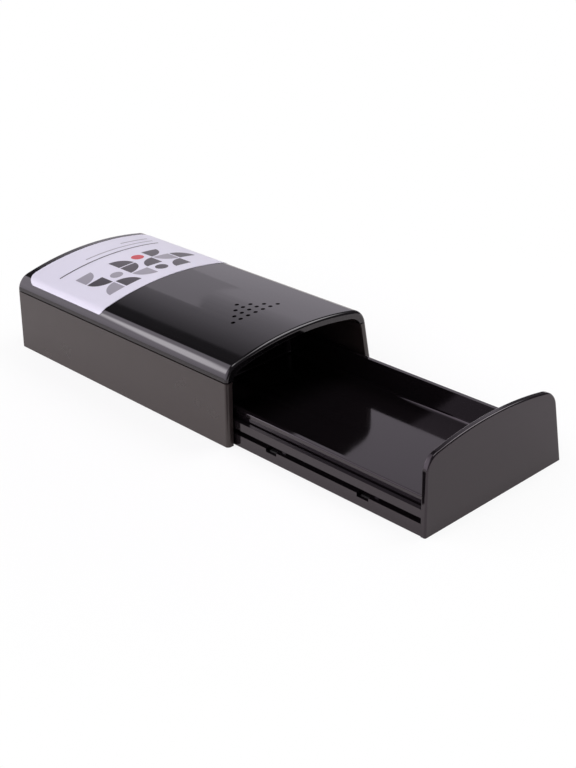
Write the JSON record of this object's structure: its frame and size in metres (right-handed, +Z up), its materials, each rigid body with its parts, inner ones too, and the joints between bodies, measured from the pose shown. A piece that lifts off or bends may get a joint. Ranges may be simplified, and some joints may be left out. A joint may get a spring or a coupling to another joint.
{
  "type": "magnetic key holder",
  "caption": "Magnetic key box with an arched casing that slides over a shallow key tray, closed by a front plate, with magnets under the tray.",
  "frame": {"origin": "middle of the footprint on the resting surface, with the tray pulled out to its stop", "axes": "+Z up, -Y towards the tray's front plate, +Y towards the casing's closed rear end, X across"},
  "size_m": [0.064, 0.2026, 0.0301],
  "materials": {
    "satin_case": "satin moulded black ABS",
    "gloss_cover": "high-gloss moulded black ABS",
    "label_film": "gloss printed film label",
    "satin_drawer": "semi-gloss moulded black ABS",
    "base_plastic": "satin moulded black ABS",
    "magnet_nickel": "nickel-plated neodymium disc"
  },
  "bodies": {
    "casing": {"case_body": "satin_case", "top_cover": "gloss_cover", "top_label": "label_film"},
    "drawer": {"drawer_tray": "satin_drawer", "base_plate": "base_plastic", "magnet_front_left": "magnet_nickel", "magnet_front_right": "magnet_nickel", "magnet_rear_left": "magnet_nickel", "magnet_rear_right": "magnet_nickel"}
  },
  "joints": [
    {"name": "drawer_slide", "type": "slide", "parent": "casing", "child": "drawer", "axis": [0, 1, 0], "range_m": [0, 0.082]}
  ]
}
